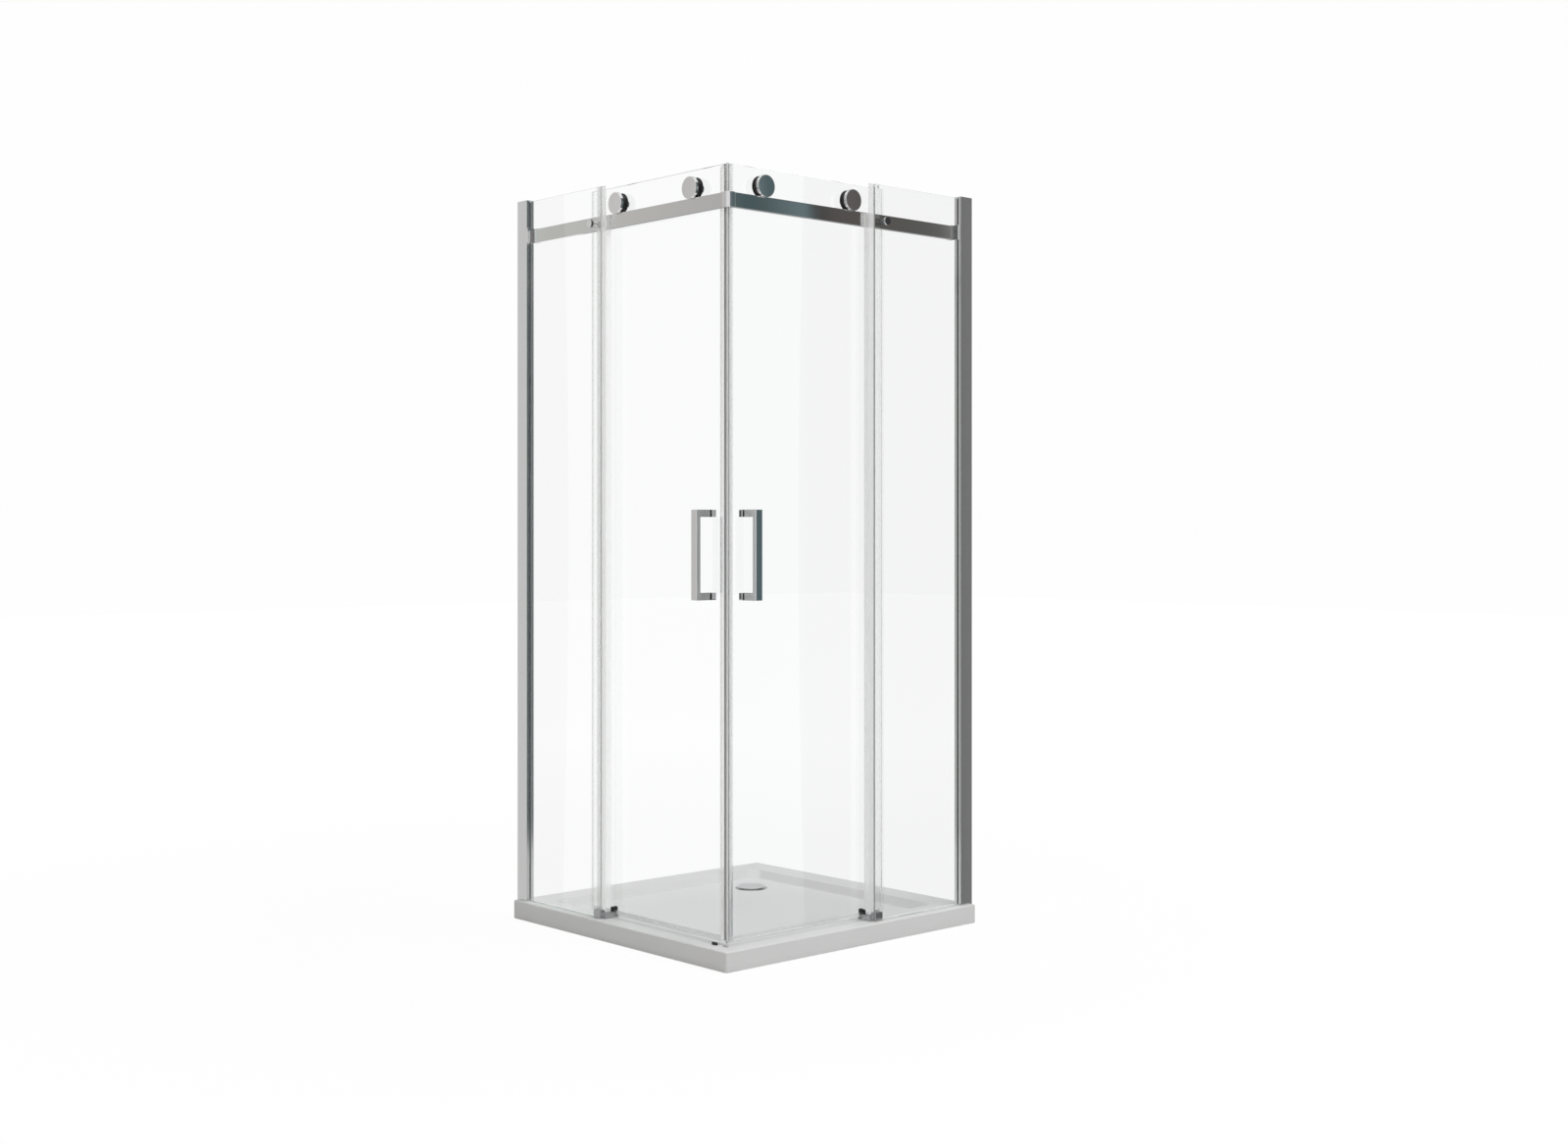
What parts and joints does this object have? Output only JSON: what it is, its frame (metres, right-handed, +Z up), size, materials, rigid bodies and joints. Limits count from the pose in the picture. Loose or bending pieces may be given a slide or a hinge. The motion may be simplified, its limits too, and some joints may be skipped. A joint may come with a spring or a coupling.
{
  "type": "shower enclosure with sliding doors",
  "caption": "Corner shower enclosure: square low tray, clear fixed panes in bright wall profiles, and clear sliding doors on exposed rollers and rails that meet at the front corner.",
  "frame": {"origin": "centre of the tray's underside, on the floor", "axes": "+Z up; the room's walls are the planes at -X and +Y; the sliding doors meet over the corner at +X, -Y; the left face looks along -Y and the right face along +X"},
  "size_m": [0.9, 0.9, 1.98],
  "materials": {
    "tray": "white, fine satin",
    "clear_glass": "clear toughened",
    "profile_chrome": "bright anodised",
    "channel": "mill",
    "chrome": "polished",
    "rail_steel": "polished",
    "screw_steel": "plain",
    "black_rubber": "matt",
    "black_nylon": "matt",
    "clear_seal": "clear flexible",
    "magnet_strip": "grey",
    "white_plastic": "satin"
  },
  "bodies": {
    "frame": {"edge_seal_left": "clear_seal", "edge_seal_right": "clear_seal", "fixed_glass_left": "clear_glass", "fixed_glass_right": "clear_glass", "glazing_gaskets": "black_rubber", "guide_brackets": "chrome", "guide_pads": "black_nylon", "profile_caps": "profile_chrome", "profile_lock_screws": "screw_steel", "rail_collars": "chrome", "rail_corner_connector": "chrome", "rail_fixing_gaskets": "black_rubber", "rail_fixings": "chrome", "rail_left": "rail_steel", "rail_right": "rail_steel", "rail_wall_brackets": "chrome", "sill_seals": "clear_seal", "threshold_stop": "black_rubber", "thresholds": "clear_seal", "tray": "tray", "wall_channels": "channel", "wall_profile_left": "profile_chrome", "wall_profile_right": "profile_chrome", "waste_cover": "chrome", "waste_cup": "white_plastic", "waste_flange": "chrome", "waste_seals": "black_rubber"},
    "door_left": {"door_glass_left": "clear_glass", "magnetic_seal_left": "clear_seal", "seal_magnet_left": "magnet_strip", "trailing_seal_left": "clear_seal", "bottom_seal_left": "clear_seal", "handle_left": "chrome", "handle_gaskets_left": "black_rubber", "handle_caps_left": "chrome", "roller_axles_left": "chrome", "roller_bushes_left": "black_nylon"},
    "door_right": {"door_glass_right": "clear_glass", "magnetic_seal_right": "clear_seal", "seal_magnet_right": "magnet_strip", "trailing_seal_right": "clear_seal", "bottom_seal_right": "clear_seal", "handle_right": "chrome", "handle_gaskets_right": "black_rubber", "handle_caps_right": "chrome", "roller_axles_right": "chrome", "roller_bushes_right": "black_nylon"},
    "roller_front_left": {"roller_disc_front_left": "chrome", "roller_wheel_front_left": "black_nylon", "roller_bearing_front_left": "screw_steel"},
    "roller_rear_left": {"roller_disc_rear_left": "chrome", "roller_wheel_rear_left": "black_nylon", "roller_bearing_rear_left": "screw_steel"},
    "roller_front_right": {"roller_disc_front_right": "chrome", "roller_wheel_front_right": "black_nylon", "roller_bearing_front_right": "screw_steel"},
    "roller_rear_right": {"roller_disc_rear_right": "chrome", "roller_wheel_rear_right": "black_nylon", "roller_bearing_rear_right": "screw_steel"}
  },
  "joints": [
    {"name": "door_left_slide", "type": "slide", "parent": "frame", "child": "door_left", "axis": [-1, 0, 0], "range_m": [0, 0.275]},
    {"name": "door_right_slide", "type": "slide", "parent": "frame", "child": "door_right", "axis": [0, 1, 0], "range_m": [0, 0.275]},
    {"name": "roller_front_left_spin", "type": "hinge", "parent": "door_left", "child": "roller_front_left", "pos_m": [0.27, -0.401, 1.9273], "axis": [0, -1, 0], "continuous": true},
    {"name": "roller_rear_left_spin", "type": "hinge", "parent": "door_left", "child": "roller_rear_left", "pos_m": [-0.034, -0.401, 1.9273], "axis": [0, -1, 0], "continuous": true},
    {"name": "roller_front_right_spin", "type": "hinge", "parent": "door_right", "child": "roller_front_right", "pos_m": [0.401, -0.29, 1.9273], "axis": [-1, 0, 0], "continuous": true},
    {"name": "roller_rear_right_spin", "type": "hinge", "parent": "door_right", "child": "roller_rear_right", "pos_m": [0.401, 0.014, 1.9273], "axis": [-1, 0, 0], "continuous": true}
  ],
  "couplings": [
    {"joint": "roller_front_left_spin", "follows": "door_left_slide", "rad_per_m": 40},
    {"joint": "roller_rear_left_spin", "follows": "door_left_slide", "rad_per_m": 40},
    {"joint": "roller_front_right_spin", "follows": "door_right_slide", "rad_per_m": 40},
    {"joint": "roller_rear_right_spin", "follows": "door_right_slide", "rad_per_m": 40}
  ]
}
